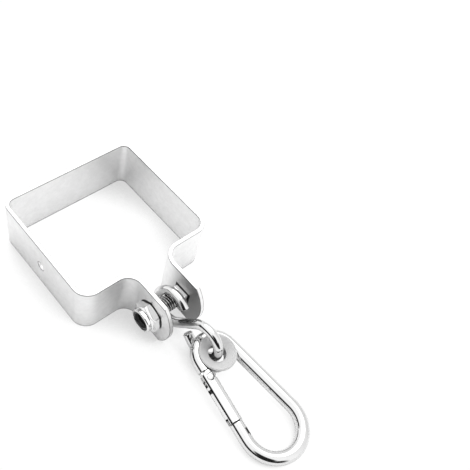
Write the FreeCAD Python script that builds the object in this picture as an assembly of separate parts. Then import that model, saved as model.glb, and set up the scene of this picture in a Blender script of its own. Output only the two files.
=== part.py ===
import FreeCAD
import Part
import math
import os

# Hammock hook for a square timber beam, hanging as it is used.
# Millimetres.  +Z up, Y along the beam, X along the clamp bolt.
# The origin is the middle of the beam opening.  The hook lies back against
# the plane of the strap's far edge, the way it rests on a table.

# Beam and clamp strap
BEAM_WIDTH = 90.0
BEAM_HEIGHT = 80.0
BEAM_CLEARANCE_X = 1.0
BEAM_CLEARANCE_Z = 1.5
STRAP_THICKNESS = 2.5
STRAP_WIDTH = 35.0
STRAP_EDGE_ROUND = 0.45
TOP_CORNER_RADIUS = 6.2
LOW_CORNER_RADIUS = 8.8
EAR_ROOT_RADIUS = 10.2
EAR_GAP = 21.0
EAR_OFFSET_X = -1.2
EAR_LENGTH = 37.6
EAR_TIP_RADIUS = 24.6
EAR_TRIM_HEIGHT = 20.0
SCREW_HOLE_DIAMETER = 6.4

# Carriage bolt and lock nut
BOLT_DIAMETER = 10.0
BOLT_DROP = 21.0
BOLT_HOLE_CLEARANCE = 0.4
BOLT_END_CHAMFER = 0.9
BOLT_END_DEPTH = 2.2
NECK_SIDE = 10.0
NECK_LENGTH = 5.6
NECK_CLEARANCE = 0.25
HEAD_DIAMETER = 24.0
HEAD_HEIGHT = 5.3
NUT_ACROSS_FLATS = 17.0
NUT_BODY_HEIGHT = 5.9
COLLAR_HEIGHT = 2.5
COLLAR_DIAMETER = 15.0
COLLAR_ROUND = 1.0
COLLAR_LIP_DIAMETER = 12.6
COLLAR_LIP_THICKNESS = 0.5
INSERT_OUTER_DIAMETER = 13.4
INSERT_HEIGHT = 2.0
THREAD_CLEARANCE = 0.05
NUT_CHAMFER = 0.9
NUT_TURN = 50.0

# S-hook
LINK_WIRE = 6.0
LINK_EYE_RADIUS = 11.0
LINK_EYE_DISTANCE = 27.76
LINK_TIP_ANGLE = 60.0
LINK_UPPER_TIP_STRAIGHT = 3.2
LINK_LOWER_TIP_STRAIGHT = 5.9
LINK_TIP_CHAMFER = 0.5
LINK_SWING = 6.2
LINK_LEAN = 3.9
LINK_TURN = 8.2
LINK_TOP_X = -0.8
LINK_TOP_DROP = 2.6
LINK_TOP_FORWARD = -0.5

# Snap hook body
SNAP_WIRE = 8.0
SNAP_EYE_RADIUS = 11.4
SNAP_BOW_RADIUS = 17.5
SNAP_LENGTH = 49.3
SNAP_X = 2.5
SNAP_Y = 6.5
SNAP_DROP = 40.25
SNAP_TILT = 6.0
SNAP_LEAN = 1.1

# Bushing in the snap hook's small eye
BUSHING_HOLE = 10.7
BUSHING_FLANGE = 22.7
BUSHING_BACK_FLANGE = 18.0
BUSHING_FLANGE_THICKNESS = 0.9
BUSHING_DISH = 2.3
BUSHING_RIM = 0.7
BUSHING_CLEARANCE = 0.3

# Gate, its rivet, spring and plunger
GATE_DIAMETER = 8.6
GATE_PIVOT_ALONG = 10.3
GATE_NOSE_ALONG = 38.4
GATE_END_GAP = 0.6
GATE_SIDE_CLEARANCE = 0.2
TONGUE_THICKNESS = 3.4
TONGUE_WIDTH = 6.4
TONGUE_RADIUS = 3.2
TONGUE_OFFSET = 1.2
SLOT_END_CLEARANCE = 1.0
SHOULDER_GAP = 0.5
LUG_LENGTH = 3.6
WIRE_EMBED = 1.0
LUG_INNER = 2.3
LUG_OUTER = 2.6
LUG_CLEARANCE = 0.3
LUG_END_CLEARANCE = 0.5
RIVET_DIAMETER = 3.0
RIVET_CLEARANCE = 0.05
RIVET_HEAD_DIAMETER = 4.4
RIVET_HEAD_HEIGHT = 0.5
RIVET_FLAT_DEPTH = 0.45
RIVET_FLAT_MARGIN = 0.3
SPRING_BORE = 5.2
SPRING_WIRE = 0.6
SPRING_DIAMETER = 4.6
SPRING_COILS = 7.5
SPRING_LENGTH = 10.5
SPRING_SEAT_GAP = 0.05
SPRING_HOLE_DIAMETER = 2.6
SPRING_HOLE_ALONG = 7.0
PLUNGER_DIAMETER = 4.6
PLUNGER_THICKNESS = 1.6
PLUNGER_STEM_DIAMETER = 2.2
PLUNGER_STEM_LENGTH = 6.0
PLUNGER_GAP = 0.3
NOSE_NOTCH_LENGTH = 4.0
NOSE_NOTCH_WIDTH = 1.0
NOSE_NOTCH_DEPTH = 1.2
NOSE_NOTCH_OFFSET = 4.9
NOSE_NOTCH_TURN = 45.0

# Worked out from the sizes above
CLEAR_X = BEAM_WIDTH + BEAM_CLEARANCE_X
CLEAR_Z = BEAM_HEIGHT + BEAM_CLEARANCE_Z
MID_X = (CLEAR_X + STRAP_THICKNESS) / 2.0
MID_Z = (CLEAR_Z + STRAP_THICKNESS) / 2.0
UNDERSIDE_Z = -(CLEAR_Z / 2.0 + STRAP_THICKNESS)
EAR_TIP_Z = UNDERSIDE_Z - EAR_LENGTH
BOLT_Z = UNDERSIDE_Z - BOLT_DROP
EAR_MID = (EAR_GAP + STRAP_THICKNESS) / 2.0
FAR_EAR_X = EAR_OFFSET_X + EAR_GAP / 2.0
NEAR_EAR_X = EAR_OFFSET_X - EAR_GAP / 2.0
NUT_SEAT_X = NEAR_EAR_X - STRAP_THICKNESS
NUT_HEIGHT = NUT_BODY_HEIGHT + COLLAR_HEIGHT
BOLT_END_X = NUT_SEAT_X - NUT_HEIGHT + BOLT_END_DEPTH
BUSHING_HEIGHT = SNAP_WIRE + 2.0 * BUSHING_CLEARANCE + 2.0 * BUSHING_FLANGE_THICKNESS
GATE_RADIUS = GATE_DIAMETER / 2.0
GATE_SLOT = TONGUE_THICKNESS + 2.0 * GATE_SIDE_CLEARANCE
GATE_LENGTH = GATE_NOSE_ALONG - GATE_PIVOT_ALONG - GATE_END_GAP
PLUNGER_X = TONGUE_RADIUS + PLUNGER_GAP
SPRING_X = PLUNGER_X + PLUNGER_THICKNESS + SPRING_SEAT_GAP
BORE_END_X = SPRING_X + SPRING_LENGTH + SPRING_SEAT_GAP
SIDE_ANGLE = math.asin((SNAP_BOW_RADIUS - SNAP_EYE_RADIUS) / SNAP_LENGTH)

X_AXIS = FreeCAD.Vector(1, 0, 0)
Y_AXIS = FreeCAD.Vector(0, 1, 0)
Z_AXIS = FreeCAD.Vector(0, 0, 1)


def vec(x, y, z):
    return FreeCAD.Vector(x, y, z)


def cylinder(diameter, length, start, axis):
    return Part.makeCylinder(diameter / 2.0, length, start, axis)


def centredBox(size, centre):
    box = Part.makeBox(size[0], size[1], size[2])
    box.translate(centre - vec(size[0] / 2.0, size[1] / 2.0, size[2] / 2.0))
    return box


def roundedPath(corners, radii):
    """A wire through the corners, with an arc of each radius at the inner ones."""
    edges = []
    start = corners[0]
    for corner, after, radius in zip(corners[1:-1], corners[2:], radii):
        back = (start - corner).normalize()
        ahead = (after - corner).normalize()
        half = back.getAngle(ahead) / 2.0
        reach = radius / math.tan(half)
        arcStart = corner + back * reach
        arcEnd = corner + ahead * reach
        bisector = (back + ahead).normalize()
        arcMid = corner + bisector * (radius / math.sin(half) - radius)
        edges.append(Part.makeLine(start, arcStart))
        edges.append(Part.Arc(arcStart, arcMid, arcEnd).toShape())
        start = arcEnd
    edges.append(Part.makeLine(start, corners[-1]))
    return Part.Wire(edges)


def sweep(profile, path):
    return Part.Wire(path).makePipeShell([profile], True, False)


def rod(diameter, edges):
    """A round bar along joined edges."""
    path = Part.Wire(edges)
    first = edges[0]
    start = first.valueAt(first.FirstParameter)
    direction = first.tangentAt(first.FirstParameter)
    circle = Part.Wire([Part.makeCircle(diameter / 2.0, start, direction)])
    return sweep(circle, path)


def arcEdge(centre, radius, fromAngle, toAngle):
    """An arc in the XZ plane, with angles in degrees from +X towards +Z."""
    points = []
    for share in (0.0, 0.5, 1.0):
        angle = math.radians(fromAngle + (toAngle - fromAngle) * share)
        points.append(centre + vec(radius * math.cos(angle), 0, radius * math.sin(angle)))
    return Part.Arc(points[0], points[1], points[2]).toShape()


def clampStrap():
    corners = [
        vec(EAR_OFFSET_X - EAR_MID, 0, EAR_TIP_Z),
        vec(EAR_OFFSET_X - EAR_MID, 0, -MID_Z),
        vec(-MID_X, 0, -MID_Z),
        vec(-MID_X, 0, MID_Z),
        vec(MID_X, 0, MID_Z),
        vec(MID_X, 0, -MID_Z),
        vec(EAR_OFFSET_X + EAR_MID, 0, -MID_Z),
        vec(EAR_OFFSET_X + EAR_MID, 0, EAR_TIP_Z),
    ]
    radii = [EAR_ROOT_RADIUS, LOW_CORNER_RADIUS, TOP_CORNER_RADIUS]
    path = roundedPath(corners, radii + radii[::-1])
    halfWidth = STRAP_WIDTH / 2.0
    halfThick = STRAP_THICKNESS / 2.0
    outline = [
        vec(0, -halfWidth, 0),
        vec(halfThick, -halfWidth, 0),
        vec(halfThick, halfWidth, 0),
        vec(-halfThick, halfWidth, 0),
        vec(-halfThick, -halfWidth, 0),
        vec(0, -halfWidth, 0),
    ]
    profile = roundedPath(outline, [STRAP_EDGE_ROUND] * 4)
    profile.translate(corners[0])
    strap = sweep(profile, path)
    return strap.cut(earTrim()).cut(strapHoles())


def earTrim():
    """What is cut off to leave the rounded ends of the two ears."""
    width = EAR_GAP + 4.0 * STRAP_THICKNESS
    blockHeight = EAR_TRIM_HEIGHT + STRAP_THICKNESS
    middle = vec(EAR_OFFSET_X, 0, EAR_TIP_Z + EAR_TRIM_HEIGHT / 2.0 - STRAP_THICKNESS / 2.0)
    block = centredBox((width, 2.0 * STRAP_WIDTH, blockHeight), middle)
    start = vec(EAR_OFFSET_X - width / 2.0, 0, EAR_TIP_Z + EAR_TIP_RADIUS)
    return block.cut(cylinder(2.0 * EAR_TIP_RADIUS, width, start, X_AXIS))


def strapHoles():
    nearHole = cylinder(
        BOLT_DIAMETER + BOLT_HOLE_CLEARANCE,
        3.0 * STRAP_THICKNESS,
        vec(NEAR_EAR_X - 2.0 * STRAP_THICKNESS, 0, BOLT_Z),
        X_AXIS,
    )
    side = NECK_SIDE + NECK_CLEARANCE
    farHole = centredBox(
        (3.0 * STRAP_THICKNESS, side, side),
        vec(FAR_EAR_X + STRAP_THICKNESS / 2.0, 0, BOLT_Z),
    )
    screwHole = cylinder(
        SCREW_HOLE_DIAMETER,
        3.0 * STRAP_THICKNESS,
        vec(-MID_X - 1.5 * STRAP_THICKNESS, 0, 0),
        X_AXIS,
    )
    return nearHole.fuse([farHole, screwHole])


def carriageBolt():
    seatX = FAR_EAR_X + STRAP_THICKNESS
    shank = cylinder(BOLT_DIAMETER, seatX - BOLT_END_X, vec(BOLT_END_X, 0, BOLT_Z), X_AXIS)
    tipEdges = [edge for edge in shank.Edges if abs(edge.CenterOfMass.x - BOLT_END_X) < 0.01]
    shank = shank.makeChamfer(BOLT_END_CHAMFER, tipEdges)
    neck = centredBox(
        (NECK_LENGTH, NECK_SIDE, NECK_SIDE),
        vec(seatX - NECK_LENGTH / 2.0, 0, BOLT_Z),
    )
    capRadius = HEAD_DIAMETER / 2.0
    domeRadius = (capRadius ** 2 + HEAD_HEIGHT ** 2) / (2.0 * HEAD_HEIGHT)
    dome = Part.makeSphere(domeRadius, vec(seatX + HEAD_HEIGHT - domeRadius, 0, BOLT_Z))
    head = dome.common(cylinder(HEAD_DIAMETER, HEAD_HEIGHT, vec(seatX, 0, BOLT_Z), X_AXIS))
    return shank.fuse([neck, head]).removeSplitter()


def hexPrism(acrossFlats, height):
    radius = acrossFlats / math.sqrt(3.0)
    points = []
    for corner in range(7):
        angle = math.radians(60.0 * corner + NUT_TURN)
        points.append(vec(0, radius * math.cos(angle), radius * math.sin(angle)))
    return Part.Face(Part.makePolygon(points)).extrude(vec(-height, 0, 0))


def turned(profile, axisStart, axis):
    """A solid of revolution from a closed list of points."""
    face = Part.Face(Part.makePolygon(profile + [profile[0]]))
    return face.revolve(axisStart, axis, 360)


def lockNut():
    corner = NUT_ACROSS_FLATS / math.sqrt(3.0)
    flat = NUT_ACROSS_FLATS / 2.0
    collar = COLLAR_DIAMETER / 2.0
    top = -NUT_HEIGHT
    ease = COLLAR_ROUND * math.cos(math.radians(45.0))
    blank = turned(
        [
            vec(0, 0, 0),
            vec(0, 0, flat),
            vec(-NUT_CHAMFER / 2.0, 0, corner),
            vec(-(NUT_BODY_HEIGHT - NUT_CHAMFER), 0, corner),
            vec(-NUT_BODY_HEIGHT, 0, collar),
            vec(top + COLLAR_ROUND, 0, collar),
            vec(top + COLLAR_ROUND - ease, 0, collar - COLLAR_ROUND + ease),
            vec(top, 0, collar - COLLAR_ROUND),
            vec(top, 0, 0),
        ],
        vec(0, 0, 0),
        X_AXIS,
    )
    nut = hexPrism(NUT_ACROSS_FLATS, NUT_HEIGHT).common(blank)
    bore = cylinder(BOLT_DIAMETER + 2.0 * THREAD_CLEARANCE, NUT_HEIGHT, vec(top, 0, 0), X_AXIS)
    insertTop = top + COLLAR_LIP_THICKNESS
    pocket = cylinder(INSERT_OUTER_DIAMETER, INSERT_HEIGHT, vec(insertTop, 0, 0), X_AXIS)
    mouth = cylinder(COLLAR_LIP_DIAMETER, COLLAR_LIP_THICKNESS, vec(top, 0, 0), X_AXIS)
    nut = nut.cut(bore.fuse([pocket, mouth]))
    nut.translate(vec(NUT_SEAT_X, 0, BOLT_Z))
    return nut


def nylonInsert():
    insertTop = NUT_SEAT_X - NUT_HEIGHT + COLLAR_LIP_THICKNESS
    start = vec(insertTop, 0, BOLT_Z)
    outer = cylinder(INSERT_OUTER_DIAMETER, INSERT_HEIGHT, start, X_AXIS)
    return outer.cut(cylinder(BOLT_DIAMETER + 2.0 * THREAD_CLEARANCE, INSERT_HEIGHT, start, X_AXIS))


def linkPlacement():
    """From the S-hook's own frame: upper eye at its origin, length along -Z, flat in YZ."""
    turn = FreeCAD.Rotation(Z_AXIS, LINK_TURN)
    lean = FreeCAD.Rotation(Y_AXIS, -LINK_LEAN)
    swing = FreeCAD.Rotation(X_AXIS, LINK_SWING)
    start = vec(LINK_TOP_X, -LINK_TOP_FORWARD, BOLT_Z - LINK_TOP_DROP)
    return FreeCAD.Placement(start, swing.multiply(lean).multiply(turn))


def sHook():
    """Drawn flat in XZ with its length along X, then stood up along -Z in the YZ plane."""
    radius = LINK_EYE_RADIUS
    upper = vec(0, 0, 0)
    lower = vec(LINK_EYE_DISTANCE, 0, 0)
    cross = math.degrees(math.asin(2.0 * radius / LINK_EYE_DISTANCE))
    stemAngle = 360.0 - (90.0 - cross)
    upperArc = arcEdge(upper, radius, LINK_TIP_ANGLE, stemAngle)
    lowerArc = arcEdge(lower, radius, stemAngle - 180.0, LINK_TIP_ANGLE - 180.0)
    tipAngle = math.radians(LINK_TIP_ANGLE)
    outward = vec(math.sin(tipAngle), 0, -math.cos(tipAngle))
    tipOne = upperArc.valueAt(upperArc.FirstParameter)
    tipTwo = lowerArc.valueAt(lowerArc.LastParameter)
    stemStart = upperArc.valueAt(upperArc.LastParameter)
    stemEnd = lowerArc.valueAt(lowerArc.FirstParameter)
    edges = [
        Part.makeLine(tipOne + outward * LINK_UPPER_TIP_STRAIGHT, tipOne),
        upperArc,
        Part.makeLine(stemStart, stemEnd),
        lowerArc,
        Part.makeLine(tipTwo, tipTwo - outward * LINK_LOWER_TIP_STRAIGHT),
    ]
    hook = rod(LINK_WIRE, edges)
    ends = [edge for edge in hook.Edges if onTip(edge, tipOne, tipTwo, outward)]
    hook = hook.makeChamfer(LINK_TIP_CHAMFER, ends)
    hook.Placement = FreeCAD.Placement(vec(0, 0, 0), standUp())
    return placed(hook, linkPlacement())


def onTip(edge, tipOne, tipTwo, outward):
    """True for the two end circles of the S-hook's wire."""
    middle = edge.CenterOfMass
    nearOne = (middle - (tipOne + outward * LINK_UPPER_TIP_STRAIGHT)).Length < 0.01
    nearTwo = (middle - (tipTwo - outward * LINK_LOWER_TIP_STRAIGHT)).Length < 0.01
    return nearOne or nearTwo


def standUp():
    """Turns the drawing plane: its +X becomes -Z, its +Z becomes -Y."""
    matrix = FreeCAD.Matrix()
    matrix.A11, matrix.A12, matrix.A13 = 0, 1, 0
    matrix.A21, matrix.A22, matrix.A23 = 0, 0, -1
    matrix.A31, matrix.A32, matrix.A33 = -1, 0, 0
    return FreeCAD.Placement(matrix).Rotation


def placed(shape, placement):
    moved = shape.copy()
    moved.Placement = placement.multiply(shape.Placement)
    return moved


def snapPlacement():
    """From the snap hook's own frame: small eye at its origin, length along -Z, flat in XZ."""
    lean = FreeCAD.Rotation(Y_AXIS, SNAP_LEAN)
    tilt = FreeCAD.Rotation(X_AXIS, SNAP_TILT)
    return FreeCAD.Placement(vec(SNAP_X, SNAP_Y, BOLT_Z - SNAP_DROP), tilt.multiply(lean))


def sidePoint(along, across):
    """A point beside the gate's centre line, in the snap hook's own frame."""
    direction = vec(-math.sin(SIDE_ANGLE), 0, -math.cos(SIDE_ANGLE))
    outward = vec(-math.cos(SIDE_ANGLE), 0, math.sin(SIDE_ANGLE))
    return outward * (SNAP_EYE_RADIUS + across) + direction * along


def gateFrame():
    """A placement at the gate's pivot: +X towards the nose, +Y along the rivet, +Z inwards."""
    ahead = (sidePoint(1, 0) - sidePoint(0, 0)).normalize()
    inwards = (sidePoint(0, -1) - sidePoint(0, 0)).normalize()
    sideways = inwards.cross(ahead)
    matrix = FreeCAD.Matrix()
    matrix.A11, matrix.A21, matrix.A31 = ahead.x, ahead.y, ahead.z
    matrix.A12, matrix.A22, matrix.A32 = sideways.x, sideways.y, sideways.z
    matrix.A13, matrix.A23, matrix.A33 = inwards.x, inwards.y, inwards.z
    turn = FreeCAD.Placement(matrix).Rotation
    return FreeCAD.Placement(sidePoint(GATE_PIVOT_ALONG, 0), turn)


def snapHookBody():
    """One wire from the tongue, round the small eye, down the spine and round to the nose."""
    side = math.degrees(SIDE_ANGLE)
    lower = vec(0, 0, -SNAP_LENGTH)
    shoulder = GATE_PIVOT_ALONG - GATE_RADIUS - SHOULDER_GAP
    eyeArc = arcEdge(vec(0, 0, 0), SNAP_EYE_RADIUS, 180.0 - side, side)
    bowArc = arcEdge(lower, SNAP_BOW_RADIUS, side, -180.0 - side)
    spineTop = eyeArc.valueAt(eyeArc.LastParameter)
    spineLow = bowArc.valueAt(bowArc.FirstParameter)
    edges = [
        Part.makeLine(sidePoint(shoulder, 0), sidePoint(0, 0)),
        eyeArc,
        Part.makeLine(spineTop, spineLow),
        bowArc,
        Part.makeLine(bowArc.valueAt(bowArc.LastParameter), sidePoint(GATE_NOSE_ALONG, 0)),
    ]
    body = rod(SNAP_WIRE, edges).fuse([tongue(shoulder), lug()])
    body = body.cut(placed(rivetHole(), gateFrame())).cut(noseNotch())
    return placed(body.removeSplitter(), snapPlacement())


def tongue(shoulder):
    """The flattened end of the wire that the gate turns on.  Its round end is off centre,
    so that it pushes the plunger back as the gate opens."""
    half = TONGUE_THICKNESS / 2.0
    reach = GATE_PIVOT_ALONG - shoulder + WIRE_EMBED
    strip = centredBox((reach, TONGUE_THICKNESS, TONGUE_WIDTH), vec(-reach / 2.0, 0, 0))
    disc = cylinder(2.0 * TONGUE_RADIUS, TONGUE_THICKNESS, vec(0, -half, TONGUE_OFFSET), Y_AXIS)
    return placed(strip.fuse(disc), gateFrame())


def lug():
    """The flattened end of the nose that the closed gate takes in."""
    noseX = GATE_NOSE_ALONG - GATE_PIVOT_ALONG
    block = centredBox(
        (LUG_LENGTH + WIRE_EMBED, TONGUE_THICKNESS, LUG_INNER + LUG_OUTER),
        vec(noseX + (WIRE_EMBED - LUG_LENGTH) / 2.0, 0, (LUG_INNER - LUG_OUTER) / 2.0),
    )
    return placed(block, gateFrame())


def rivetHole():
    diameter = RIVET_DIAMETER + 2.0 * RIVET_CLEARANCE
    return cylinder(diameter, 2.0 * GATE_DIAMETER, vec(0, -GATE_DIAMETER, 0), Y_AXIS)


def noseNotch():
    """The short notch on the upper inner side of the nose."""
    noseX = GATE_NOSE_ALONG - GATE_PIVOT_ALONG
    notch = centredBox(
        (NOSE_NOTCH_LENGTH, NOSE_NOTCH_WIDTH, NOSE_NOTCH_DEPTH),
        vec(noseX + NOSE_NOTCH_OFFSET + NOSE_NOTCH_LENGTH / 2.0, 0, SNAP_WIRE / 2.0),
    )
    notch.rotate(vec(0, 0, 0), X_AXIS, NOSE_NOTCH_TURN)
    return placed(notch, gateFrame())


def snapGate():
    """A round bar, slotted for the tongue and for the lug and drilled for its spring."""
    whole = GATE_LENGTH + GATE_RADIUS
    bar = cylinder(GATE_DIAMETER, whole, vec(-GATE_RADIUS, 0, 0), X_AXIS)
    keep = centredBox(
        (GATE_LENGTH, 2.0 * GATE_DIAMETER, 2.0 * GATE_DIAMETER),
        vec(GATE_LENGTH / 2.0, 0, 0),
    )
    rounding = cylinder(GATE_DIAMETER, 2.0 * GATE_DIAMETER, vec(0, -GATE_DIAMETER, 0), Y_AXIS)
    gate = bar.common(keep.fuse(rounding))
    gate = gate.cut(hingeSlot()).cut(noseSlot()).cut(springBore())
    gate = gate.cut(rivetHole()).cut(rivetFlats())
    return placed(placed(gate.removeSplitter(), gateFrame()), snapPlacement())


def hingeSlot():
    """Room for the tongue, open on both sides."""
    slotEnd = TONGUE_RADIUS + SLOT_END_CLEARANCE
    length = slotEnd + GATE_DIAMETER
    return centredBox(
        (length, GATE_SLOT, 2.0 * GATE_DIAMETER),
        vec(slotEnd - length / 2.0, 0, 0),
    )


def noseSlot():
    """Room for the lug, open on the outer side only."""
    start = GATE_LENGTH + GATE_END_GAP - LUG_LENGTH - LUG_END_CLEARANCE
    length = LUG_LENGTH + GATE_DIAMETER
    inner = LUG_INNER + LUG_CLEARANCE
    height = inner + GATE_DIAMETER
    return centredBox((length, GATE_SLOT, height), vec(start + length / 2.0, 0, inner - height / 2.0))


def springBore():
    """The spring's bore, and the small hole that reaches it from outside."""
    bore = cylinder(SPRING_BORE, BORE_END_X, vec(0, 0, 0), X_AXIS)
    start = vec(SPRING_HOLE_ALONG, 0, -GATE_DIAMETER)
    return bore.fuse(cylinder(SPRING_HOLE_DIAMETER, GATE_DIAMETER, start, Z_AXIS))


def rivetFlats():
    """The shallow flats under the rivet's heads."""
    depth = GATE_RADIUS - RIVET_FLAT_DEPTH
    diameter = RIVET_HEAD_DIAMETER + 2.0 * RIVET_FLAT_MARGIN
    above = cylinder(diameter, GATE_DIAMETER, vec(0, depth, 0), Y_AXIS)
    below = cylinder(diameter, GATE_DIAMETER, vec(0, -depth - GATE_DIAMETER, 0), Y_AXIS)
    return above.fuse(below)


def gatePlunger():
    head = cylinder(PLUNGER_DIAMETER, PLUNGER_THICKNESS, vec(PLUNGER_X, 0, 0), X_AXIS)
    stem = cylinder(PLUNGER_STEM_DIAMETER, PLUNGER_STEM_LENGTH, vec(PLUNGER_X, 0, 0), X_AXIS)
    plunger = head.fuse(stem).removeSplitter()
    return placed(placed(plunger, gateFrame()), snapPlacement())


def gateSpring():
    """A coil from the plunger's head to the end of its bore."""
    height = SPRING_LENGTH - SPRING_WIRE
    pitch = height / SPRING_COILS
    radius = (SPRING_DIAMETER - SPRING_WIRE) / 2.0
    helix = Part.makeHelix(pitch, height, radius)
    profile = Part.Wire([Part.makeCircle(SPRING_WIRE / 2.0, vec(radius, 0, 0), Y_AXIS)])
    coil = Part.Wire(helix).makePipeShell([profile], True, True)
    coil.rotate(vec(0, 0, 0), Y_AXIS, 90.0)
    coil.translate(vec(SPRING_X + SPRING_WIRE / 2.0, 0, 0))
    return placed(placed(coil, gateFrame()), snapPlacement())


def gateRivet():
    """A pin with a low domed head on each side."""
    span = GATE_RADIUS - RIVET_FLAT_DEPTH
    pin = cylinder(RIVET_DIAMETER, 2.0 * span, vec(0, -span, 0), Y_AXIS)
    lowHead = rivetHead(span)
    highHead = rivetHead(span)
    lowHead.rotate(vec(0, 0, 0), X_AXIS, 180.0)
    rivet = pin.fuse([lowHead, highHead]).removeSplitter()
    return placed(placed(rivet, gateFrame()), snapPlacement())


def rivetHead(faceY):
    capRadius = RIVET_HEAD_DIAMETER / 2.0
    domeRadius = (capRadius ** 2 + RIVET_HEAD_HEIGHT ** 2) / (2.0 * RIVET_HEAD_HEIGHT)
    dome = Part.makeSphere(domeRadius, vec(0, faceY + RIVET_HEAD_HEIGHT - domeRadius, 0))
    return dome.common(cylinder(RIVET_HEAD_DIAMETER, RIVET_HEAD_HEIGHT, vec(0, faceY, 0), Y_AXIS))


def bushing():
    """A grooved ring that fills the small eye, dished on both faces."""
    half = BUSHING_HEIGHT / 2.0
    hole = BUSHING_HOLE / 2.0
    flange = BUSHING_FLANGE / 2.0
    backFlange = BUSHING_BACK_FLANGE / 2.0
    edge = BUSHING_FLANGE_THICKNESS / 2.0
    body = turned(
        [
            vec(hole, BUSHING_DISH - half, 0),
            vec(flange - BUSHING_RIM, -half, 0),
            vec(flange, edge - half, 0),
            vec(flange, 0, 0),
            vec(backFlange, 0, 0),
            vec(backFlange, half - edge, 0),
            vec(backFlange - BUSHING_RIM, half, 0),
            vec(hole, half - BUSHING_DISH, 0),
        ],
        vec(0, 0, 0),
        Y_AXIS,
    )
    groove = SNAP_WIRE / 2.0 + BUSHING_CLEARANCE
    ring = Part.makeTorus(SNAP_EYE_RADIUS, groove, vec(0, 0, 0), Y_AXIS)
    return placed(body.cut(ring), snapPlacement())


def main():
    os.makedirs("parts", exist_ok=True)
    nodes = {
        "clamp_strap": clampStrap,
        "carriage_bolt": carriageBolt,
        "lock_nut": lockNut,
        "nylon_insert": nylonInsert,
        "s_hook": sHook,
        "bushing": bushing,
        "snap_hook_body": snapHookBody,
        "snap_gate": snapGate,
        "gate_rivet": gateRivet,
        "gate_plunger": gatePlunger,
        "gate_spring": gateSpring,
    }
    for name, make in nodes.items():
        shape = make()
        box = shape.BoundBox
        print(name, "solids", len(shape.Solids), "valid", shape.isValid(), "volume", round(shape.Volume, 1))
        print("   x %.2f..%.2f  y %.2f..%.2f  z %.2f..%.2f" % (
            box.XMin, box.XMax, box.YMin, box.YMax, box.ZMin, box.ZMax))
        shape.exportStep("parts/%s.step" % name)


main()
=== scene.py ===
import math

import bmesh
import bpy
from mathutils import Matrix, Vector


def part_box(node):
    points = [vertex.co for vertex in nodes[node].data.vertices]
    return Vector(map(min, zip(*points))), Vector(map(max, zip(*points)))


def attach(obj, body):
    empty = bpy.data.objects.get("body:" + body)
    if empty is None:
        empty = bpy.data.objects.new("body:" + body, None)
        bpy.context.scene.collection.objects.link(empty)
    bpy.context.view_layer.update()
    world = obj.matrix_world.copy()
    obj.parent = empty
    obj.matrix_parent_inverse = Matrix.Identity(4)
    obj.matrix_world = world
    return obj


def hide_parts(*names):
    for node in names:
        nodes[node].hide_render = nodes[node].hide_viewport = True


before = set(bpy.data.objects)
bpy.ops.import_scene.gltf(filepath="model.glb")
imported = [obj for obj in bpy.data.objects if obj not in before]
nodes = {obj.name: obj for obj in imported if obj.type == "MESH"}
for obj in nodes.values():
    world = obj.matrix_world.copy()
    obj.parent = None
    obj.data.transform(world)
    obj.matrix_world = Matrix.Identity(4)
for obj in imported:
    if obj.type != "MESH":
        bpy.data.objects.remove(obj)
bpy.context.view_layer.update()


# small helpers for node trees and meshes

mixSockets = {"factor": 0, "first": 6, "second": 7, "color": 2}  # the colour sockets of a mix node
fullTurn = 2.0 * math.pi


def grey(tone):
    return (tone, tone, tone, 1.0)


def addNode(tree, kind, place, **settings):
    made = tree.nodes.new(kind)
    made.location = place
    for name, value in settings.items():
        setattr(made, name, value)
    return made


def setInputs(made, **values):
    for name, value in values.items():
        made.inputs[name.replace("_", " ")].default_value = value
    return made


def feed(tree, socket, source):
    # source is another node's output or a fixed value
    if isinstance(source, bpy.types.NodeSocket):
        tree.links.new(source, socket)
    else:
        socket.default_value = source


def mathNode(tree, place, operation, *sources, clamp=False):
    made = addNode(tree, "ShaderNodeMath", place, operation=operation, use_clamp=clamp)
    for socket, source in zip(made.inputs, sources):
        feed(tree, socket, source)
    return made.outputs["Value"]


def vectorNode(tree, place, operation, *sources):
    made = addNode(tree, "ShaderNodeVectorMath", place, operation=operation)
    for socket, source in zip(made.inputs, sources):
        feed(tree, socket, source)
    single = operation in ("DOT_PRODUCT", "LENGTH")
    return made.outputs["Value" if single else "Vector"]


def timesNode(tree, place, first, second):
    return mathNode(tree, place, "MULTIPLY", first, second)


def rampNode(tree, place, source, fromMin, fromMax, toMin=0.0, toMax=1.0, soft=True):
    # a value carried over from one range to another, eased at both ends if soft
    kind = "SMOOTHSTEP" if soft else "LINEAR"
    made = addNode(tree, "ShaderNodeMapRange", place, interpolation_type=kind)
    feed(tree, made.inputs["Value"], source)
    feed(tree, made.inputs["From Min"], fromMin)
    feed(tree, made.inputs["From Max"], fromMax)
    feed(tree, made.inputs["To Min"], toMin)
    feed(tree, made.inputs["To Max"], toMax)
    return made.outputs["Result"]


def noiseNode(tree, place, where, scale, detail, roughness, distortion=0.0):
    made = addNode(tree, "ShaderNodeTexNoise", place)
    setInputs(made, Detail=detail, Roughness=roughness, Distortion=distortion)
    feed(tree, made.inputs["Vector"], where)
    feed(tree, made.inputs["Scale"], scale)
    return made.outputs["Fac"]


def mixTones(tree, place, mask, first, second):
    made = addNode(tree, "ShaderNodeMix", place, data_type="RGBA")
    feed(tree, made.inputs[mixSockets["factor"]], mask)
    feed(tree, made.inputs[mixSockets["first"]], first)
    feed(tree, made.inputs[mixSockets["second"]], second)
    return made.outputs[mixSockets["color"]]


def mixShaders(tree, place, share, first, second):
    made = addNode(tree, "ShaderNodeMixShader", place)
    for socket, source in zip(made.inputs, (share, first, second)):
        feed(tree, socket, source)
    return made.outputs[0]


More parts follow.
